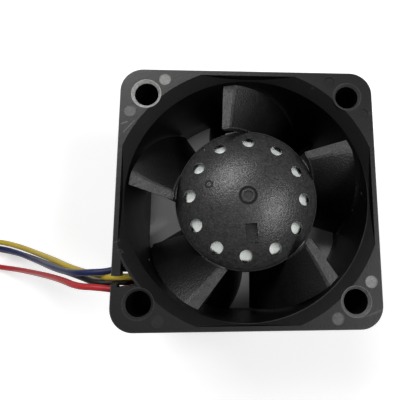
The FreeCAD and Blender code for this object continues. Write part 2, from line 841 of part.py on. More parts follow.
# ---------------------------------------------------------------- free leads
# The leads leave the frame side by side, sag to the surface, run to the coil and end in the plug.
# Their points are given for a frame of half side routeHalf, and move with its -X and -Y sides.
freeRoutes = {
    "blue": [
        (-22.6, -11.0, 24.9),
        (-25.4, -11.15, 24.2),
        (-28.8, -11.0, 21.9),
        (-32.4, -10.5, 17.9),
        (-36.2, -9.7, 13.0),
        (-40.0, -8.9, 8.6),
        (-44.0, -8.0, 5.0),
        (-48.4, -7.1, 2.6),
        (-53.4, -6.8, 1.7),
        (-58.6, -7.6, 1.65),
        (-64.0, -8.1, 1.95),
    ],
    "yellow": [
        (-22.0, -12.2, 25.65),
        (-24.4, -12.1, 23.0),
        (-28.2, -10.8, 20.4),
        (-31.8, -9.4, 17.4),
        (-35.6, -8.5, 12.7),
        (-39.6, -7.7, 8.2),
        (-43.8, -6.8, 4.7),
        (-48.2, -5.9, 2.5),
        (-53.2, -5.5, 1.7),
        (-58.6, -6.4, 1.65),
        (-64.0, -7.0, 1.95),
    ],
    "black": [
        (-21.5, -13.0, 24.85),
        (-23.3, -13.35, 24.4),
        (-25.8, -12.9, 23.1),
        (-28.6, -12.0, 20.7),
        (-31.4, -11.3, 16.6),
        (-35.2, -10.4, 11.8),
        (-39.0, -9.6, 7.4),
        (-43.0, -8.7, 3.6),
        (-47.4, -7.8, 1.2),
        (-52.6, -6.9, 0.6),
        (-58.4, -6.8, 0.56),
        (-64.0, -7.0, 0.85),
    ],
    "red": [
        (-22.6, -14.05, 25.65),
        (-25.6, -14.0, 24.9),
        (-29.0, -12.9, 21.5),
        (-32.6, -12.4, 17.2),
        (-36.4, -12.1, 12.3),
        (-40.2, -11.8, 7.7),
        (-44.2, -11.4, 3.9),
        (-48.6, -11.0, 1.3),
        (-53.4, -10.2, 0.6),
        (-58.6, -8.8, 0.56),
        (-64.0, -8.1, 0.85),
    ],
}
tailRoutes = {
    "blue": [(-71.0, -10.4, 2.0), (-74.8, -10.6, 2.4)],
    "yellow": [(-71.0, -9.2, 2.0), (-74.8, -9.1, 2.5)],
    "black": [(-71.0, -9.3, 0.9), (-74.8, -7.6, 1.5)],
    "red": [(-71.0, -10.5, 0.9), (-74.8, -12.2, 1.5)],
}
plugOrder = ["red", "blue", "yellow", "black"]
slots = [plugMiddle + (k - 1.5) * plugPitch for k in range(4)]


def leadPoints(points):
    return [Vector(x + leadShift, y + leadShift, z) for x, y, z in points]


def coilRing():
    band = ring(coilInside, coilOutside, coilLift, coilTop)
    band = band.makeChamfer(coilEdge, band.Edges)
    band.translate(coilMiddle)
    return band


coil = coilRing()
keep("lead_coil", coil)
for colour, route in freeRoutes.items():
    socket = Vector(plugEnd, slots[plugOrder.index(colour)], plugHeight / 2)
    arriving = tube([exits[colour]] + leadPoints(route), wireRadius)
    straight = socket + Vector(plugStraight, 0, 0)
    leaving = tube(leadPoints(tailRoutes[colour]) + [straight, socket], wireRadius)
    keep("lead_" + colour, arriving.cut(coil), leaving.cut(coil))


def coilTie():
    """Flat strap round the coil's bundle."""
    near = coilMiddle.y + coilInside - tieClearance
    far = coilMiddle.y + coilOutside + tieClearance
    low = coilLift - tieClearance
    high = coilTop + tieClearance
    left = coilMiddle.x - tieWidth / 2
    right = coilMiddle.x + tieWidth / 2
    wall = tieThickness
    strap = block(left, right, near - wall, far + wall, low - wall, high + wall)
    strap = strap.makeFillet(wall, alongX(strap))
    return strap.cut(block(left - 1, right + 1, near, far, low, high))


keep("coil_tie", coilTie())


# ---------------------------------------------------------------- connector
def connectorShell():
    body = block(plugFront, plugEnd, plugMiddle - plugWidth / 2, plugMiddle + plugWidth / 2, 0, plugHeight)
    body = body.makeFillet(plugRound, alongX(body))
    wide = plugRib / 2
    for y in (plugMiddle - plugPitch, plugMiddle + plugPitch):
        end = plugFront + ribLength
        rib = block(plugFront, end, y - wide, y + wide, plugHeight / 2, plugHeight + plugRib)
        body = body.fuse(rib)
    centre = plugHeight / 2
    deep = plugFront + mouthDepth
    for y in slots:
        width = cavityWidth / 2
        height = cavityHeight / 2
        body = body.cut(block(deep, plugEnd + 1, y - width, y + width, centre - height, centre + height))
        hole = mouthWidth / 2
        body = body.cut(block(plugFront - 1, deep + 1, y - hole, y + hole, centre - hole, centre + hole))
    return body.removeSplitter()


def contact(y):
    """Sheet-metal socket contact, open at the front, whose rear takes the wire."""
    low = contactBottom
    high = contactBottom + contactHeight
    side = contactWidth / 2
    wall = contactWall
    shell = block(plugFront + mouthDepth, plugEnd, y - side, y + side, low, high)
    front = plugEnd - contactCrimp
    side = side - wall
    return shell.cut(block(plugFront, front, y - side, y + side, low + wall, high - wall))


keep("connector_shell", connectorShell())
keep("connector_contacts", *[contact(y) for y in slots])

# ---------------------------------------------------------------- one STEP file per piece
for name, shape in nodes.items():
    if not shape.isValid():
        print("not valid:", name)
    shape.exportStep("parts/%s.step" % name)
print(len(nodes), "nodes written")
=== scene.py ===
import bpy
import bmesh
import json
import math
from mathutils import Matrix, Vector


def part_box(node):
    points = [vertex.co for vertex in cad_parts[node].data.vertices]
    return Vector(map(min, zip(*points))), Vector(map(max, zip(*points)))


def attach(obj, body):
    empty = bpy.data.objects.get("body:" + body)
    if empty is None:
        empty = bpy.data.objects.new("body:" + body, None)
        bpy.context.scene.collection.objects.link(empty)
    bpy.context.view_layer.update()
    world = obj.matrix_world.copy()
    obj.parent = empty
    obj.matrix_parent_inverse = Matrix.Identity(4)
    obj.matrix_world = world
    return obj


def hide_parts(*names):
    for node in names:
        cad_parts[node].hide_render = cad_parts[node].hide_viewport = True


# lengths are in metres and angles in degrees; the fan lies on its outlet face, at z = 0
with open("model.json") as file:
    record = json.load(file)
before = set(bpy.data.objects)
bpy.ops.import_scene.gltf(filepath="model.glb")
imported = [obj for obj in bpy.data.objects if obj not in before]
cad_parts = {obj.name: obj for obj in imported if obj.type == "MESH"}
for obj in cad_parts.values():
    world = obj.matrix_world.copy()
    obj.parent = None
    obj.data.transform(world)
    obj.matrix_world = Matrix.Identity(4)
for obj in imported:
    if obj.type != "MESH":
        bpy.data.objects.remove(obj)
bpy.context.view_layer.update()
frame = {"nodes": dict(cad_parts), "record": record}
nodes = frame["nodes"]
record = frame["record"]
scene = bpy.context.scene

# sizes that the looks share with the fan's frame; its middle lies on the rotor's axis
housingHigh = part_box("housing")[1]
halfSide = housingHigh[0]
inletFace = housingHigh[2]
inletHoles = next(mount["dims"] for mount in record["mounts"] if mount["name"] == "inlet_holes")
holeReach = inletHoles["spacing_x_mm"] / 2000
holeRadius = inletHoles["hole_r_mm"] / 1000
print("frame loaded:", len(nodes), "nodes")


# shader node helpers
def setSocket(node, name, value):
    node.inputs[name].default_value = value


def feed(tree, socket, value):
    # an input takes either a link or a fixed value
    if isinstance(value, bpy.types.NodeSocket):
        tree.links.new(value, socket)
    else:
        socket.default_value = value


def mathNode(tree, operation, *values):
    node = tree.nodes.new("ShaderNodeMath")
    node.operation = operation
    for slot, value in zip(node.inputs, values):
        feed(tree, slot, value)
    return node.outputs[0]


def product(tree, result, *factors):
    for factor in factors:
        result = mathNode(tree, "MULTIPLY", result, factor)
    return result


def highest(tree, result, *others):
    for other in others:
        result = mathNode(tree, "MAXIMUM", result, other)
    return result


def hypotenuse(tree, across, along):
    square = mathNode(tree, "MULTIPLY", along, along)
    return mathNode(tree, "SQRT", mathNode(tree, "MULTIPLY_ADD", across, across, square))


def objectPlace(tree):
    return tree.nodes.new("ShaderNodeTexCoord").outputs["Object"]


def axesOf(tree, vector):
    split = tree.nodes.new("ShaderNodeSeparateXYZ")
    tree.links.new(vector, split.inputs[0])
    return list(split.outputs)


def noise(tree, vector, scale, detail=3.0, rough=0.6):
    texture = tree.nodes.new("ShaderNodeTexNoise")
    tree.links.new(vector, texture.inputs["Vector"])
    setSocket(texture, "Detail", detail)
    setSocket(texture, "Roughness", rough)
    feed(tree, texture.inputs["Scale"], scale)
    return texture.outputs["Fac"]


def ramp(tree, value, low, high, toLow=0.0, toHigh=1.0, smooth=True):
    spread = tree.nodes.new("ShaderNodeMapRange")
    if smooth:
        spread.interpolation_type = "SMOOTHSTEP"
    for label, amount in (("From Min", low), ("From Max", high), ("To Min", toLow), ("To Max", toHigh)):
        feed(tree, spread.inputs[label], amount)
    tree.links.new(value, spread.inputs["Value"])
    return spread.outputs["Result"]


def band(tree, value, low, high, fade):
    # rises over the fade from low, and falls over the fade from high
    return product(tree, ramp(tree, value, low, low + fade), ramp(tree, value, high, high + fade, 1.0, 0.0))


def blendColour(tree, mask, low, high):
    mix = tree.nodes.new("ShaderNodeMix")
    mix.data_type = "RGBA"
    tree.links.new(mask, mix.inputs["Factor"])
    # a mix node's colour inputs come after its number and vector inputs
    for slot, colour in ((mix.inputs[6], low), (mix.inputs[7], high)):
        feed(tree, slot, colour if isinstance(colour, bpy.types.NodeSocket) else (*colour, 1))
    return mix.outputs[2]


def bumped(tree, height, strength, distance, normal=None):
    bump = tree.nodes.new("ShaderNodeBump")
    setSocket(bump, "Distance", distance)
    tree.links.new(height, bump.inputs["Height"])
    feed(tree, bump.inputs["Strength"], strength)
    if normal is not None:
        tree.links.new(normal, bump.inputs["Normal"])
    return bump.outputs["Normal"]


def viewMask(tree):
    # 1 for what the camera sees directly, mirrored or through something
    path = tree.nodes.new("ShaderNodeLightPath")
    kinds = [path.outputs[label] for label in ("Is Camera Ray", "Is Glossy Ray", "Is Transmission Ray")]
    return highest(tree, *kinds)


# floor and world
stage = {
    "floorSide": 4.0,
    "floorDrop": 0.00002,
    "floorColour": (0.8, 0.8, 0.8, 1),
    "floorRough": 0.9,
    "floorSpecular": 0.1,
    "floorLift": 0.5,
    "liftBeyond": (0.0002, 0.0036),  # from the frame's side
    # a painted pool of light on the floor under the fan: glow strength inside and outside, the radii it
    # fades between, and its middle
    "paintedGlowLift": (0.08, 0.006),
    "paintedGlowRadius": (0.014, 0.0205),
    "paintedGlowMiddle": (-0.0025, 0.001),
    "fillLight": 0.1,
    "wallTone": 0.16,
    "wallFrom": 0.02,
    "wallTo": 0.16,
    "ceilingTone": 0.72,
    "ceilingFrom": 0.86,
    "ceilingTo": 0.97,
}


def makeFloor(s):
    bm = bmesh.new()
    bmesh.ops.create_grid(bm, x_segments=1, y_segments=1, size=s["floorSide"] / 2)
    bmesh.ops.translate(bm, vec=(0, 0, -s["floorDrop"]), verts=bm.verts)
    mesh = bpy.data.meshes.new("floor")
    bm.to_mesh(mesh)
    bm.free()
    floor = bpy.data.objects.new("floor", mesh)
    scene.collection.objects.link(floor)
    paint = bpy.data.materials.new("paleFloor")
    paint.use_nodes = True
    tree = paint.node_tree
    shader = tree.nodes["Principled BSDF"]
    setSocket(shader, "Base Color", s["floorColour"])
    setSocket(shader, "Roughness", s["floorRough"])
    setSocket(shader, "Specular IOR Level", s["floorSpecular"])
    setSocket(shader, "Emission Color", (1, 1, 1, 1))
    # the lift to white stops where the fan stands, so its openings look down into shade; a weaker painted
    # glow is lifted in under the fan instead
    x, y, _ = axesOf(tree, objectPlace(tree))
    side = highest(tree, mathNode(tree, "ABSOLUTE", x), mathNode(tree, "ABSOLUTE", y))
    away = ramp(tree, side, *[halfSide + beyond for beyond in s["liftBeyond"]], 0.0, s["floorLift"])
    # a weak painted glow under the fan, brightest near the hub and fading towards the frame's walls
    offMiddle = [mathNode(tree, "SUBTRACT", axis, middle) for axis, middle in zip((x, y), s["paintedGlowMiddle"])]
    paintedGlow = ramp(tree, hypotenuse(tree, *offMiddle), *s["paintedGlowRadius"], *s["paintedGlowLift"])
    lift = product(tree, viewMask(tree), highest(tree, away, paintedGlow))
    tree.links.new(lift, shader.inputs["Emission Strength"])
    floor.data.materials.append(paint)


def makeWorld(s):
    # diffuse light comes evenly from all round; mirrored rays see a pale horizon, dim walls and a
    # pale ceiling
    world = bpy.data.worlds.new("studio")
    scene.world = world
    world.use_nodes = True
    tree = world.node_tree
    sky = tree.nodes["Background"]
    setSocket(sky, "Color", (1, 1, 1, 1))
    direction = tree.nodes.new("ShaderNodeTexCoord").outputs["Generated"]
    up = axesOf(tree, direction)[2]
    walls = ramp(tree, up, s["wallFrom"], s["wallTo"], 1.0, s["wallTone"])
    ceiling = ramp(tree, up, s["ceilingFrom"], s["ceilingTo"], 0.0, s["ceilingTone"])
    backdrop = highest(tree, walls, ceiling)
    strength = ramp(tree, viewMask(tree), 0.0, 1.0, s["fillLight"], backdrop, smooth=False)
    tree.links.new(strength, sky.inputs["Strength"])


# each lamp: direction from the fan (azimuth, elevation), distance, width, height, power in watts
lamps = {
    "leftSoftbox": (122, 51, 0.45, 0.32, 0.12, 1.28),
    "rightSoftbox": (-15, 52, 0.45, 0.34, 0.12, 1.12),
}
lampAim = Vector((0, 0, 0.02))


def makeLamp(name, azimuth, elevation, distance, width, height, power):
    light = bpy.data.lights.new(name, "AREA")
    light.shape = "RECTANGLE"
    light.size = width
    light.size_y = height
    light.energy = power
    lamp = bpy.data.objects.new(name, light)
    scene.collection.objects.link(lamp)
    turn = math.radians(azimuth)
    rise = math.radians(elevation)
    away = Vector((math.cos(turn) * math.cos(rise), math.sin(turn) * math.cos(rise), math.sin(rise)))
    lamp.location = lampAim + away * distance
    lamp.rotation_euler = (-away).to_track_quat("-Z", "Y").to_euler()


cameraSetting = {
    "place": (-0.00307, -0.0099, 0.09299),
    "turn": (10.21856, -3.35467, -0.32811),
    "lens": 38.808,
    "shift": (-0.134, -0.04275),
    "nearest": 0.002,
}


def makeCamera(s):
    camera = bpy.data.objects.new("camera", bpy.data.cameras.new("camera"))
    scene.collection.objects.link(camera)
    camera.location = s["place"]
    camera.rotation_euler = [math.radians(angle) for angle in s["turn"]]
    camera.data.lens = s["lens"]
    camera.data.shift_x, camera.data.shift_y = s["shift"]
    camera.data.clip_start = s["nearest"]
    scene.camera = camera


makeFloor(stage)
makeWorld(stage)
for name, values in lamps.items():
    makeLamp(name, *values)
makeCamera(cameraSetting)
scene.view_settings.view_transform = "Standard"
print("floor, world, lamps and camera made")


# effects that several materials share
def newGroup(name, inputs, outputs):
    group = bpy.data.node_groups.new(name, "ShaderNodeTree")
    for label, kind, value in inputs:
        socket = group.interface.new_socket(name=label, in_out="INPUT", socket_type="NodeSocket" + kind)
        socket.default_value = value
    for label, kind in outputs:
        group.interface.new_socket(name=label, in_out="OUTPUT", socket_type="NodeSocket" + kind)
    return group, group.nodes.new("NodeGroupInput").outputs, group.nodes.new("NodeGroupOutput").inputs


grainLook = {
    "contrast": (0.35, 0.65),
    "cloudDetail": 4.0,
    "height": 0.00004,
}


def makeGrainGroup(s):
    # moulded or rolled surface: fine grain with broad cloudy changes in tone and gloss
    tree, start, end = newGroup(
        "surfaceGrain",
        [
            ("Grain Scale", "Float", 4000.0),
            ("Cloud Scale", "Float", 120.0),
            ("Depth", "Float", 0.3),
            ("Tone Low", "Color", (0.02, 0.02, 0.02, 1)),
            ("Tone High", "Color", (0.03, 0.03, 0.03, 1)),
            ("Rough Low", "Float", 0.4),
            ("Rough High", "Float", 0.6),
        ],
        [("Color", "Color"), ("Roughness", "Float"), ("Normal", "Vector")],
    )
    place = objectPlace(tree)
    fine = noise(tree, place, start["Grain Scale"])
    cloud = noise(tree, place, start["Cloud Scale"], s["cloudDetail"])
    middle = product(tree, mathNode(tree, "ADD", fine, cloud), 0.5)
    both = ramp(tree, middle, *s["contrast"], smooth=False)
    tree.links.new(blendColour(tree, both, start["Tone Low"], start["Tone High"]), end["Color"])
    gloss = ramp(tree, both, 0.0, 1.0, start["Rough Low"], start["Rough High"], smooth=False)
    tree.links.new(gloss, end["Roughness"])
    tree.links.new(bumped(tree, fine, start["Depth"], s["height"]), end["Normal"])
    return tree


def makeSpotGroup():
    # a soft-edged round spot or ring that runs right through the part along z
    tree, start, end = newGroup(
        "roundSpot",
        [
            ("Centre", "Vector", (0.0, 0.0, 0.0)),
            ("Inner", "Float", 0.0),
            ("Outer", "Float", 0.001),
            ("Blur", "Float", 0.0001),
        ],
        [("Mask", "Float")],
    )
    away = tree.nodes.new("ShaderNodeVectorMath")
    away.operation = "SUBTRACT"
    tree.links.new(objectPlace(tree), away.inputs[0])
    tree.links.new(start["Centre"], away.inputs[1])
    radius = hypotenuse(tree, *axesOf(tree, away.outputs[0])[:2])
    beyond = ramp(tree, radius, mathNode(tree, "SUBTRACT", start["Inner"], start["Blur"]), start["Inner"])
    edge = mathNode(tree, "ADD", start["Outer"], start["Blur"])
    within = ramp(tree, radius, start["Outer"], edge, 1.0, 0.0)
    tree.links.new(product(tree, beyond, within), end["Mask"])
    return tree


scratchLines = {
    "stretch": (1.0, 0.05, 1.0),
    "lineNoise": (1.0, 0.4),  # detail and roughness
    "lineEdge": (0.66, 0.72),
    "patchDetail": 2.0,
    "patchEdge": (0.5, 0.62),
}


def makeScratchGroup(s):
    # sparse fine scratches, all lying one way
    tree, start, end = newGroup(
        "fineScratches",
        [("Turn", "Vector", (0.0, 0.0, 0.0)), ("Scale", "Float", 900.0), ("Patches", "Float", 160.0)],
        [("Mask", "Float")],
    )
    place = objectPlace(tree)
    turn = tree.nodes.new("ShaderNodeVectorRotate")
    turn.rotation_type = "EULER_XYZ"
    tree.links.new(place, turn.inputs["Vector"])
    tree.links.new(start["Turn"], turn.inputs["Rotation"])
    stretch = tree.nodes.new("ShaderNodeVectorMath")
    stretch.operation = "MULTIPLY"
    stretch.inputs[1].default_value = s["stretch"]
    tree.links.new(turn.outputs[0], stretch.inputs[0])
    lines = ramp(tree, noise(tree, stretch.outputs[0], start["Scale"], *s["lineNoise"]), *s["lineEdge"])
    patches = ramp(tree, noise(tree, place, start["Patches"], s["patchDetail"]), *s["patchEdge"])
    tree.links.new(product(tree, lines, patches), end["Mask"])
    return tree


smallestSpeck = 0.3


def makeDustGroup():
    # a few pale specks of different sizes, one in some of the cells
    tree, start, end = newGroup(
        "dustSpecks",
        [("Scale", "Float", 500.0), ("Size", "Float", 0.09), ("Share", "Float", 0.2)],
        [("Mask", "Float")],
    )
    cells = tree.nodes.new("ShaderNodeTexVoronoi")
    tree.links.new(objectPlace(tree), cells.inputs["Vector"])
    tree.links.new(start["Scale"], cells.inputs["Scale"])
    pick, grow, _ = axesOf(tree, cells.outputs["Color"])
    size = product(tree, start["Size"], mathNode(tree, "ADD", grow, smallestSpeck))
    speck = mathNode(tree, "LESS_THAN", cells.outputs["Distance"], size)
    chosen = mathNode(tree, "LESS_THAN", pick, start["Share"])
    tree.links.new(product(tree, speck, chosen), end["Mask"])
    return tree


grainGroup = makeGrainGroup(grainLook)
spotGroup = makeSpotGroup()
scratchGroup = makeScratchGroup(scratchLines)
dustGroup = makeDustGroup()


def placeGroup(tree, group, **values):
    node = tree.nodes.new("ShaderNodeGroup")
    node.node_tree = group
    for label, value in values.items():
        setSocket(node, label.replace("_", " "), value)
    return node.outputs


# materials
def shaderOf(material):
    return material.node_tree.nodes["Principled BSDF"]


def grainMaterial(name, low, high, rough, grain=4000.0, cloud=120.0, depth=0.3, **fixed):
    material = bpy.data.materials.new(name)
    material.use_nodes = True
    tree = material.node_tree
    shader = shaderOf(material)
    surface = placeGroup(
        tree,
        grainGroup,
        Grain_Scale=grain,
        Cloud_Scale=cloud,
        Depth=depth,
        Tone_Low=(*low, 1),
        Tone_High=(*high, 1),
        Rough_Low=rough[0],
        Rough_High=rough[1],
    )
    tree.links.new(surface["Color"], shader.inputs["Base Color"])
    tree.links.new(surface["Roughness"], shader.inputs["Roughness"])
    tree.links.new(surface["Normal"], shader.inputs["Normal"])
    for label, value in fixed.items():
        setSocket(shader, label.replace("_", " "), value)
    return material


def plastic(name, s):
    return grainMaterial(
        name,
        s["low"],
        s["high"],
        s["rough"],
        s["grain"],
        s["cloud"],
        s["depth"],
        Specular_IOR_Level=s["specular"],
    )


def feedOf(socket):
    # what already feeds a socket
    return socket.links[0].from_socket


def overlay(material, mask, colour, roughness):
    # lays another tone and roughness over the material where the mask is white: worn and dusty finishes,
    # painted highlights and painted shade
    tree = material.node_tree
    shader = shaderOf(material)
    tone, gloss = shader.inputs["Base Color"], shader.inputs["Roughness"]
    tree.links.new(blendColour(tree, mask, feedOf(tone), colour), tone)
    tree.links.new(ramp(tree, mask, 0.0, 1.0, feedOf(gloss), roughness, smooth=False), gloss)


def ribbed(material, axis, pitch, depth):
    # even ridges, such as laminations or turns of wire; axis "r" counts outwards from the fan's axis
    tree = material.node_tree
    x, y, z = axesOf(tree, objectPlace(tree))
    along = hypotenuse(tree, x, y) if axis == "r" else {"x": x, "y": y, "z": z}[axis]
    wave = mathNode(tree, "SINE", product(tree, along, 2 * math.pi / pitch))
    normal = shaderOf(material).inputs["Normal"]
    tree.links.new(bumped(tree, wave, 1.0, depth, feedOf(normal)), normal)
    return material


spotBlur = 0.00012


def spot(tree, x, y, inner, outer, blur=spotBlur):
    return placeGroup(tree, spotGroup, Centre=(x, y, 0), Inner=inner, Outer=outer, Blur=blur)["Mask"]


def atLevel(tree, height, level, span):
    # 1 within the span of one height
    return mathNode(tree, "COMPARE", height, level, span)


frameLook = {
    "low": (0.0012, 0.0012, 0.0013),
    "high": (0.0028, 0.0028, 0.003),
    "rough": (0.36, 0.44),
    "grain": 3200,
    "cloud": 150,
    "depth": 0.7,
    "specular": 0.42,
    # a noise is given by scale, detail and roughness, and its spread by the range that is read and
    # the range that comes out
    "patch": (260.0, 5.0, 0.7),
    "patchSpread": (0.3, 0.7, 0.35, 1.0),
    "speckle": (2600.0, 3.0, 0.7),
    "speckleSpread": (0.25, 0.75, 0.55, 1.0),
    # the inlet face, by depth below it
    "faceDepth": (0.00015, 0.00003),
    "faceTone": (0.0025, 0.0025, 0.0025),
    "faceRough": 0.4,
    # rubbed white on the scratches and the ejector marks, and painted highlights on the marks and the screw
    # rims
    "rubAndGlintDepth": (0.00065, 0.0004),
    "rubAndGlintTone": (0.5, 0.5, 0.49),
    "rubAndGlintRough": 0.6,
    "shadedMarkRough": 0.3,
    # ejector marks, how far in from the two sides of a corner
    "markReach": 0.00085,
    "markFromSide": 0.0016,
    "markFromCorner": 0.00685,
    # by corner: lightness of the mark beside the y side and of the one beside the x side, their paler
    # finish with a painted highlight where the lamps catch them; below 0 the mark gets painted shade
    # instead
    "marks": {(-1, 1): (0.62, 0.22), (1, 1): (-0.4, -0.2), (1, -1): (0.2, 0.5), (-1, -1): (0.02, 0)},
    # by corner: strength of the painted highlight on the mount hole's rim, where its chamfer catches the
    # lamps
    "rims": {(-1, 1): 1.0, (1, 1): 0.1, (1, -1): 0.28, (-1, -1): 0.05},
    "rimBeyond": (-0.00005, 0.00045),
    "rimBlur": 0.00006,
    "scratchTurn": (0, 0, 1.2),  # in radians
    "scratchScale": 1400.0,
    "scratchPale": 0.08,
    # single scratches: from, to, half width
    "strokes": [
        ((-0.0193, 0.0096), (-0.0176, 0.0116), 0.00007),
        ((-0.0197, 0.011), (-0.0186, 0.0114), 0.00009),
    ],
    "strokePale": 0.3,
    "strokeFade": 0.00015,
    # painted highlights along edges: the crease where the bevel meets the duct, on its lower right side,
    # and the rounded corners of the face
    "edgeHighlightTone": (0.05, 0.05, 0.049),
    "edgeHighlightRough": 0.5,
    "creaseRadius": (0.0189, 0.0192),
    "creaseBlur": 0.00008,
    "creaseDepth": 0.0019,
    "creaseSpan": 0.00012,
    "creaseReach": (0.012, 0.024),
    "cornerRadius": 0.0035,
    "cornerBand": (0.00018, 0.00006),
    "dustScale": 420.0,
    "dustShare": 0.12,
    "dustPale": 0.5,
    "dustTone": (0.35, 0.34, 0.32),
    "dustRough": 0.9,
}


def cornerReach(tree, x, y, flat):
    # how far a point stands beyond the square of straight sides that the corner rounds grow from
    beyond = [
        highest(tree, mathNode(tree, "SUBTRACT", mathNode(tree, "ABSOLUTE", axis), flat), 0.0)
        for axis in (x, y)
    ]
    return hypotenuse(tree, *beyond)


def stroke(tree, x, y, start, end, wide, fade):
    # one straight scratch, seen from above
    first, last = Vector(start), Vector(end)
    length = (last - first).length
    ahead = (last - first) / length
    side = Vector((-ahead.y, ahead.x))
    along, across = [
        mathNode(
            tree,
            "SUBTRACT",
            mathNode(tree, "MULTIPLY_ADD", x, way.x, mathNode(tree, "MULTIPLY", y, way.y)),
            first.dot(way),
        )
        for way in (ahead, side)
    ]
    body = ramp(tree, mathNode(tree, "ABSOLUTE", across), wide / 2, wide, 1.0, 0.0)
    return product(tree, band(tree, along, 0.0, length - fade, fade), body)


def markPlaces(s):
    # each ejector mark's place and lightness: a painted highlight above 0, painted shade below 0
    near, far = halfSide - s["markFromSide"], halfSide - s["markFromCorner"]
    for (east, north), (besideY, besideX) in s["marks"].items():
        yield east * far, north * near, besideY
        yield east * near, north * far, besideX


def dust(material, s):
    tree = material.node_tree
    specks = placeGroup(tree, dustGroup, Scale=s["dustScale"], Share=s["dustShare"])["Mask"]
    overlay(material, product(tree, specks, s["dustPale"]), s["dustTone"], s["dustRough"])


def framePlastic(s):
    material = plastic("framePlastic", s)
    tree = material.node_tree
    place = objectPlace(tree)
    x, y, z = axesOf(tree, place)
    patchy = ramp(tree, noise(tree, place, *s["patch"]), *s["patchSpread"])
    speckled = ramp(tree, noise(tree, place, *s["speckle"]), *s["speckleSpread"])

    face = ramp(tree, z, *[inletFace - depth for depth in s["faceDepth"]])
    overlay(material, product(tree, face, patchy), s["faceTone"], s["faceRough"])

    scratches = placeGroup(tree, scratchGroup, Turn=s["scratchTurn"], Scale=s["scratchScale"])["Mask"]
    rubAndGlintMasks = [product(tree, scratches, s["scratchPale"])]
    for start, end, wide in s["strokes"]:
        single = stroke(tree, x, y, start, end, wide, s["strokeFade"])
        rubAndGlintMasks.append(product(tree, single, s["strokePale"]))
    for east, north, paintedLight in markPlaces(s):
        mark = product(tree, spot(tree, east, north, 0, s["markReach"]), abs(paintedLight))
        if paintedLight > 0:
            rubAndGlintMasks.append(mark)
        elif paintedLight < 0:
            # a mark below 0 gets painted shade: the frame's darkest tone, and glossier
            overlay(material, product(tree, mark, face), s["low"], s["shadedMarkRough"])
    # painted highlight on the mount holes' rims
    rim = [holeRadius + beyond for beyond in s["rimBeyond"]]
    for (east, north), paintedLight in s["rims"].items():
        ring = spot(tree, east * holeReach, north * holeReach, *rim, s["rimBlur"])
        rubAndGlintMasks.append(product(tree, ring, paintedLight))
    # the rubbed white and the painted highlights, only near the inlet face
    top = ramp(tree, z, *[inletFace - depth for depth in s["rubAndGlintDepth"]])
    rubAndGlint = product(tree, highest(tree, *rubAndGlintMasks), top, speckled)
    overlay(material, rubAndGlint, s["rubAndGlintTone"], s["rubAndGlintRough"])

    # painted highlight along the crease, on the lower right side only
    crease = spot(tree, 0, 0, *s["creaseRadius"], s["creaseBlur"])
    bevelFoot = atLevel(tree, z, inletFace - s["creaseDepth"], s["creaseSpan"])
    southEast = ramp(tree, mathNode(tree, "SUBTRACT", x, y), *s["creaseReach"])
    overlay(material, product(tree, crease, bevelFoot, southEast, patchy), s["edgeHighlightTone"], s["edgeHighlightRough"])
    # painted highlight along the rounded corners of the face
    reach = cornerReach(tree, x, y, halfSide - s["cornerRadius"])
    edge = ramp(tree, reach, *[s["cornerRadius"] - short for short in s["cornerBand"]])
    overlay(material, product(tree, edge, face, patchy), s["edgeHighlightTone"], s["edgeHighlightRough"])
    dust(material, s)
    return material


impellerLook = {
    "low": (0.003, 0.003, 0.0032),
    "high": (0.006, 0.006, 0.0065),
    "rough": (0.38, 0.46),
    "grain": 3000,
    "cloud": 240,
    "depth": 1.7,
    "specular": 0.5,
    # the domed nose: painted sheen, a lighter mottled tone standing in for its grainy highlights
    "noseSheenTone": (0.06, 0.06, 0.0615),
    "noseReach": 0.0116,
    "noseFrom": 0.0222,
    "noseTo": 0.0232,
    "mottleScales": (1300.0, 2900.0),
    "mottleNoise": (4.0, 0.75),  # detail and roughness
    "mottleSpread": (0.72, 1.28, 0.15, 1.0),
    "sparkle": (2600.0, 2.0, 0.8),
    "sparkleSpread": (0.35, 0.65, 0.1, 0.36),
    # painted highlights on the flat strips on the blades' leading tips
    "stripHighlightTone": (0.06, 0.06, 0.061),
    "stripRough": 0.42,
    "stripGap": 0.0005,
    "stripFrom": 0.02562,
    "stripTo": 0.02568,
    "edgeBlur": 0.0003,
    # painted highlights on the ledges beside the blades' roots
    "ledgeRadius": (0.01075, 0.0117),
    "ledgeTop": 0.02256,
    "ledgeSpan": 0.00004,
    "ledgeHighlightTone": (0.11, 0.11, 0.112),
    "ledgeRough": 0.45,
    "ledgeBlur": 0.00005,
    # shaded hollows: the gate's pit and ring, a dimple and the mould insert's mark
    "pitTone": (0.003, 0.003, 0.003),
    "pitReach": 0.0005,
    "pitRough": 0.6,
    "pitWeight": 0.8,
    "gateRing": (0.00112, 0.00142),
    "gateRough": 0.9,
    "dimple": (-0.0061, 0.0019, 0.00045, 0.0006),
    "dimpleRough": 0.8,
    "recess": ((-0.0004, 0.00165), (-0.0073, -0.0041), (0.0256, 0.0258)),
    "recessFade": 0.0001,
    "recessRough": 0.25,
    "dustScale": 560.0,
    "dustShare": 0.07,
    "dustPale": 0.3,
    "dustTone": (0.4, 0.39, 0.37),
    "dustRough": 0.9,
}


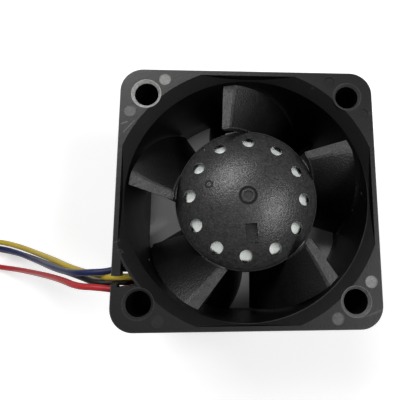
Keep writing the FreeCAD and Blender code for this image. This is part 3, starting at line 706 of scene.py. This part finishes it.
def impellerPlastic(s):
    material = plastic("impellerPlastic", s)
    tree = material.node_tree
    place = objectPlace(tree)
    axes = axesOf(tree, place)
    z = axes[2]
    coarse, fine = [noise(tree, place, scale, *s["mottleNoise"]) for scale in s["mottleScales"]]
    mottled = ramp(tree, mathNode(tree, "ADD", coarse, fine), *s["mottleSpread"], smooth=False)

    sparkle = ramp(tree, noise(tree, place, *s["sparkle"]), *s["sparkleSpread"], smooth=False)
    # painted sheen on the nose's top, mottled like grainy highlights
    noseSheen = product(
        tree,
        ramp(tree, z, s["noseFrom"], s["noseTo"]),
        spot(tree, 0, 0, 0, s["noseReach"], s["edgeBlur"]),
        mottled,
    )
    overlay(material, noseSheen, s["noseSheenTone"], sparkle)
    # painted highlight on the blades' leading strips, mottled
    stripHighlights = product(
        tree,
        ramp(tree, z, s["stripFrom"], s["stripTo"]),
        spot(tree, 0, 0, s["noseReach"] + s["stripGap"], halfSide, s["edgeBlur"]),
        mottled,
    )
    overlay(material, stripHighlights, s["stripHighlightTone"], s["stripRough"])
    # painted highlight on the flat ledges at the blades' roots
    ledges = spot(tree, 0, 0, *s["ledgeRadius"], s["ledgeBlur"])
    flats = atLevel(tree, z, s["ledgeTop"], s["ledgeSpan"])
    overlay(material, product(tree, ledges, flats), s["ledgeHighlightTone"], s["ledgeRough"])

    pit = spot(tree, 0, 0, 0, s["pitReach"], s["edgeBlur"])
    overlay(material, product(tree, pit, s["pitWeight"]), s["pitTone"], s["pitRough"])
    overlay(material, spot(tree, 0, 0, *s["gateRing"]), s["pitTone"], s["gateRough"])
    overlay(material, spot(tree, *s["dimple"]), s["pitTone"], s["dimpleRough"])
    sides = [band(tree, axis, *span, s["recessFade"]) for axis, span in zip(axes, s["recess"])]
    overlay(material, product(tree, *sides), s["pitTone"], s["recessRough"])
    dust(material, s)
    return material


leadLook = {
    "rough": (0.35, 0.48),
    "grain": 5000,
    "cloud": 300,
    "depth": 0.2,
    "specular": 0.3,
}


def leadMaterial(name, low, high):
    return plastic(name, {**leadLook, "low": low, "high": high})


def metal(name, low, high, rough, **texture):
    return grainMaterial(name, low, high, rough, Metallic=1.0, **texture)


def yokeSteel():
    # bright zinc, seen at the bottom of the hub's vents
    tones = (0.86, 0.92, 0.88), (0.97, 1.0, 0.97)
    return grainMaterial("yokeSteel", *tones, (0.22, 0.36), grain=2500, cloud=400, depth=0.2, Metallic=0.9)


def laminations():
    sheet = grainMaterial("laminations", (0.22, 0.22, 0.23), (0.34, 0.34, 0.35), (0.45, 0.6), Metallic=0.9)
    return ribbed(sheet, "z", pitch=0.0005, depth=0.00005)


def copperWinding():
    wire = grainMaterial("copperWinding", (0.45, 0.16, 0.07), (0.62, 0.26, 0.12), (0.3, 0.4), Metallic=0.9)
    return ribbed(wire, "r", pitch=0.00025, depth=0.00006)


def tieNylon():
    strap = grainMaterial("tieBlack", (0.012, 0.012, 0.013), (0.02, 0.02, 0.021), (0.4, 0.5))
    return ribbed(strap, "y", pitch=0.0006, depth=0.00008)


def naturalNylon():
    tones = (0.66, 0.64, 0.58), (0.76, 0.74, 0.68)
    return grainMaterial("naturalNylon", *tones, (0.45, 0.6), grain=2500, cloud=150, depth=0.2)


finishes = {
    "black_frame_plastic": framePlastic(frameLook),
    "black_impeller_plastic": impellerPlastic(impellerLook),
    "yoke_steel": yokeSteel(),
    "magnet": grainMaterial("magnetRing", (0.03, 0.03, 0.03), (0.05, 0.05, 0.05), (0.6, 0.8)),
    "shaft_steel": metal("shaftSteel", (0.5, 0.5, 0.5), (0.62, 0.62, 0.62), (0.2, 0.3)),
    "brass": metal("brass", (0.6, 0.42, 0.18), (0.75, 0.56, 0.26), (0.3, 0.42)),
    "spring_steel": metal("springSteel", (0.4, 0.4, 0.4), (0.5, 0.5, 0.5), (0.3, 0.4)),
    "nylon": naturalNylon(),
    "lamination_steel": laminations(),
    "board_green": grainMaterial("boardGreen", (0.012, 0.10, 0.03), (0.02, 0.15, 0.05), (0.3, 0.45)),
    "chip_black": grainMaterial("chipBlack", (0.015, 0.015, 0.016), (0.03, 0.03, 0.03), (0.5, 0.6)),
    "ceramic_tan": grainMaterial("ceramicTan", (0.35, 0.24, 0.14), (0.48, 0.35, 0.22), (0.5, 0.6)),
    "resistor_dark": grainMaterial("resistorDark", (0.02, 0.02, 0.025), (0.04, 0.04, 0.05), (0.4, 0.5)),
    "tinned_metal": metal("tinPlate", (0.65, 0.65, 0.63), (0.8, 0.8, 0.78), (0.3, 0.4)),
    "tie_black": tieNylon(),
    "bearing_steel": metal("bearingSteel", (0.55, 0.55, 0.56), (0.7, 0.7, 0.7), (0.15, 0.25)),
    "shield_steel": metal("shieldSteel", (0.45, 0.45, 0.45), (0.6, 0.6, 0.6), (0.35, 0.45)),
    "copper": copperWinding(),
    "lead_bundle": grainMaterial("leadBundle", (0.2, 0.12, 0.1), (0.25, 0.15, 0.12), (0.4, 0.5)),
    "lead_red": leadMaterial("leadRed", (0.40, 0.016, 0.02), (0.50, 0.03, 0.035)),
    "lead_black": leadMaterial("leadBlack", (0.005, 0.005, 0.005), (0.01, 0.01, 0.009)),
    "lead_yellow": leadMaterial("leadYellow", (0.46, 0.34, 0.03), (0.57, 0.43, 0.06)),
    "lead_blue": leadMaterial("leadBlue", (0.006, 0.01, 0.05), (0.011, 0.02, 0.09)),
}
slotOf = {part["node"]: part["material_slot"] for part in record["subparts"]}


def dress(piece, slot):
    piece.data.materials.clear()
    piece.data.materials.append(finishes[slot])


for name, node in nodes.items():
    dress(node, slotOf[name])
print("materials given to", len(nodes), "nodes")


# leads: from the notch in the flange to the coil
leadRoutes = {
    "blue": [
        (-0.02, -0.011, 0.0249),
        (-0.0212, -0.01142, 0.025),
        (-0.0238, -0.01152, 0.0249),
        (-0.0266, -0.01165, 0.0239),
        (-0.0294, -0.01135, 0.0212),
        (-0.0326, -0.01075, 0.0176),
        (-0.0362, -0.01, 0.013),
        (-0.04, -0.0092, 0.0086),
        (-0.044, -0.0082, 0.005),
        (-0.0484, -0.0072, 0.0026),
        (-0.0534, -0.0068, 0.0017),
        (-0.0586, -0.0076, 0.00165),
        (-0.064, -0.0081, 0.00195),
    ],
    "yellow": [
        (-0.02, -0.0122, 0.02565),
        (-0.0209, -0.0123, 0.0255),
        (-0.0223, -0.01235, 0.0237),
        (-0.025, -0.01175, 0.0218),
        (-0.0286, -0.0109, 0.0199),
        (-0.032, -0.00985, 0.0168),
        (-0.0358, -0.00895, 0.0124),
        (-0.0396, -0.0081, 0.0082),
        (-0.0438, -0.007, 0.0047),
        (-0.0482, -0.006, 0.0025),
        (-0.0532, -0.0055, 0.0017),
        (-0.0586, -0.0064, 0.00165),
        (-0.064, -0.007, 0.00195),
    ],
    "black": [
        (-0.02, -0.013, 0.02485),
        (-0.0216, -0.01315, 0.02485),
        (-0.0234, -0.013, 0.0244),
        (-0.0256, -0.01235, 0.0231),
        (-0.0284, -0.01175, 0.0204),
        (-0.0314, -0.01125, 0.0164),
        (-0.0352, -0.0104, 0.0118),
        (-0.039, -0.0096, 0.0074),
        (-0.043, -0.0087, 0.0036),
        (-0.0474, -0.0078, 0.0012),
        (-0.0526, -0.0069, 0.0006),
        (-0.0584, -0.0068, 0.00056),
        (-0.064, -0.007, 0.00085),
    ],
    "red": [
        (-0.02, -0.01405, 0.02565),
        (-0.0226, -0.0137, 0.0256),
        (-0.0258, -0.0136, 0.0247),
        (-0.029, -0.01285, 0.0216),
        (-0.0326, -0.0124, 0.0172),
        (-0.0364, -0.0121, 0.0123),
        (-0.0402, -0.0118, 0.0077),
        (-0.0442, -0.0114, 0.0039),
        (-0.0486, -0.011, 0.0013),
        (-0.0534, -0.0102, 0.0006),
        (-0.0586, -0.0088, 0.00056),
        (-0.064, -0.0081, 0.00085),
    ],
}
# from the coil to the plug
tailRoutes = {
    "blue": [
        (-0.071, -0.0104, 0.002),
        (-0.0748, -0.0106, 0.0024),
        (-0.0784, -0.01117, 0.0028),
        (-0.081, -0.01117, 0.0028),
    ],
    "yellow": [
        (-0.071, -0.0092, 0.002),
        (-0.0748, -0.0091, 0.0025),
        (-0.0784, -0.00863, 0.0028),
        (-0.081, -0.00863, 0.0028),
    ],
    "black": [
        (-0.071, -0.0093, 0.0009),
        (-0.0748, -0.0076, 0.0015),
        (-0.0784, -0.00609, 0.0028),
        (-0.081, -0.00609, 0.0028),
    ],
    "red": [
        (-0.071, -0.0105, 0.0009),
        (-0.0748, -0.0122, 0.0015),
        (-0.0784, -0.01371, 0.0028),
        (-0.081, -0.01371, 0.0028),
    ],
}
coil = {
    "middle": (-0.0675, 0.0034),
    "turns": 2,
    "pointsPerTurn": 16,
    "startAngle": -90,
    "firstRadius": 0.011,
    "lastRadius": 0.0133,
    "climb": 0.0024,
    # counted in turns: where the bundle widens, climbs over its own start and comes down again
    "widenAt": (0.72, 1.04),
    "climbAt": (0.70, 0.84),
    "dropAt": (0.94, 1.08),
}
# each lead's place in the bundle: outwards from the coil's radius, and height
bundlePlace = {
    "yellow": (-0.00056, 0.00215),
    "blue": (0.00056, 0.00215),
    "black": (-0.00056, 0.00105),
    "red": (0.00056, 0.00105),
}
wire = {
    "diameter": 0.001,
    "pointSteps": 8,
    "roundSteps": 5,
}


def smoothStep(x, low, high):
    t = min(1.0, max(0.0, (x - low) / (high - low)))
    return t * t * (3 - 2 * t)


def coilPoints(s, outwards, height):
    # the curve runs through the middles between its points, so they stand a little further out
    spread = 1 / math.cos(math.pi / s["pointsPerTurn"])
    points = []
    for step in range(s["turns"] * s["pointsPerTurn"] + 1):
        turns = step / s["pointsPerTurn"]
        angle = math.radians(s["startAngle"] - 360 * turns)
        widened = (s["lastRadius"] - s["firstRadius"]) * smoothStep(turns, *s["widenAt"])
        reach = (s["firstRadius"] + widened + outwards) * spread
        x = s["middle"][0] + reach * math.cos(angle)
        y = s["middle"][1] + reach * math.sin(angle)
        rise = smoothStep(turns, *s["climbAt"]) - smoothStep(turns, *s["dropAt"])
        points.append((x, y, height + s["climb"] * rise))
    return points


def makeLead(colour):
    points = leadRoutes[colour] + coilPoints(coil, *bundlePlace[colour]) + tailRoutes[colour]
    curve = bpy.data.curves.new("lead_" + colour, "CURVE")
    curve.dimensions = "3D"
    spline = curve.splines.new("NURBS")
    spline.points.add(len(points) - 1)
    for knot, place in zip(spline.points, points):
        knot.co = (*place, 1)
    spline.order_u = 3
    spline.use_endpoint_u = True
    spline.resolution_u = wire["pointSteps"]
    curve.bevel_depth = wire["diameter"] / 2
    curve.bevel_resolution = wire["roundSteps"]
    curve.use_fill_caps = True
    lead = bpy.data.objects.new("wire_" + colour, curve)
    scene.collection.objects.link(lead)
    curve.materials.append(finishes["lead_" + colour])
    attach(lead, "frame")
    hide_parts("lead_" + colour, "lead_coil")


for colour in leadRoutes:
    makeLead(colour)
print("leads laid")


# head of the cable tie
tieHead = {
    "length": 0.0034,
    "thickness": 0.0015,
    "height": 0.0029,
    "lift": 0.0009,
    "bite": 0.0001,
    "round": 0.0003,
    "roundSteps": 3,
    "slotWall": 0.0002,
    "slotDepth": 0.0011,
    "tailWidth": 0.0016,
    "tailThickness": 0.00035,
    "tailReach": 0.0015,
    "tailRound": 0.00008,
    "tailRoundSteps": 2,
}


def addBlock(bm, low, high):
    made = bmesh.ops.create_cube(bm, size=1.0)["verts"]
    low, high = Vector(low), Vector(high)
    bmesh.ops.scale(bm, vec=high - low, verts=made)
    bmesh.ops.translate(bm, vec=(low + high) / 2, verts=made)
    return made


def roundEdges(bm, edges, width, segments):
    bmesh.ops.bevel(
        bm, geom=edges, offset=width, segments=segments, profile=0.5, affect="EDGES", material=-1
    )


def makeTieHead(s):
    low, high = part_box("coil_tie")
    middle = (low[0] + high[0]) / 2
    back = high[1] - s["bite"]
    front = back + s["thickness"]
    top = s["lift"] + s["height"]
    side = s["length"] / 2
    bm = bmesh.new()
    addBlock(bm, (middle - side, back, s["lift"]), (middle + side, front, top))
    roundEdges(bm, bm.edges[:], s["round"], s["roundSteps"])
    # the slot that the strap passes up through, sunk into the head's top
    lid = max((face for face in bm.faces if face.normal.z > 0.9), key=lambda face: face.calc_area())
    bmesh.ops.inset_individual(bm, faces=[lid], thickness=s["slotWall"])
    bmesh.ops.translate(bm, vec=(0, 0, -s["slotDepth"]), verts=lid.verts)
    # the strap's cut end stands out of the slot
    wide, thin = s["tailWidth"] / 2, s["tailThickness"] / 2
    across = (back + front) / 2
    tail = addBlock(
        bm,
        (middle - wide, across - thin, top - s["slotDepth"]),
        (middle + wide, across + thin, top + s["tailReach"]),
    )
    tailEdges = [edge for edge in bm.edges if edge.verts[0] in tail]
    roundEdges(bm, tailEdges, s["tailRound"], s["tailRoundSteps"])
    bmesh.ops.recalc_face_normals(bm, faces=bm.faces)
    mesh = bpy.data.meshes.new("tie_head")
    bm.to_mesh(mesh)
    bm.free()
    head = bpy.data.objects.new("tie_head", mesh)
    scene.collection.objects.link(head)
    dress(head, "tie_black")
    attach(head, "frame")


makeTieHead(tieHead)
print("tie head made")
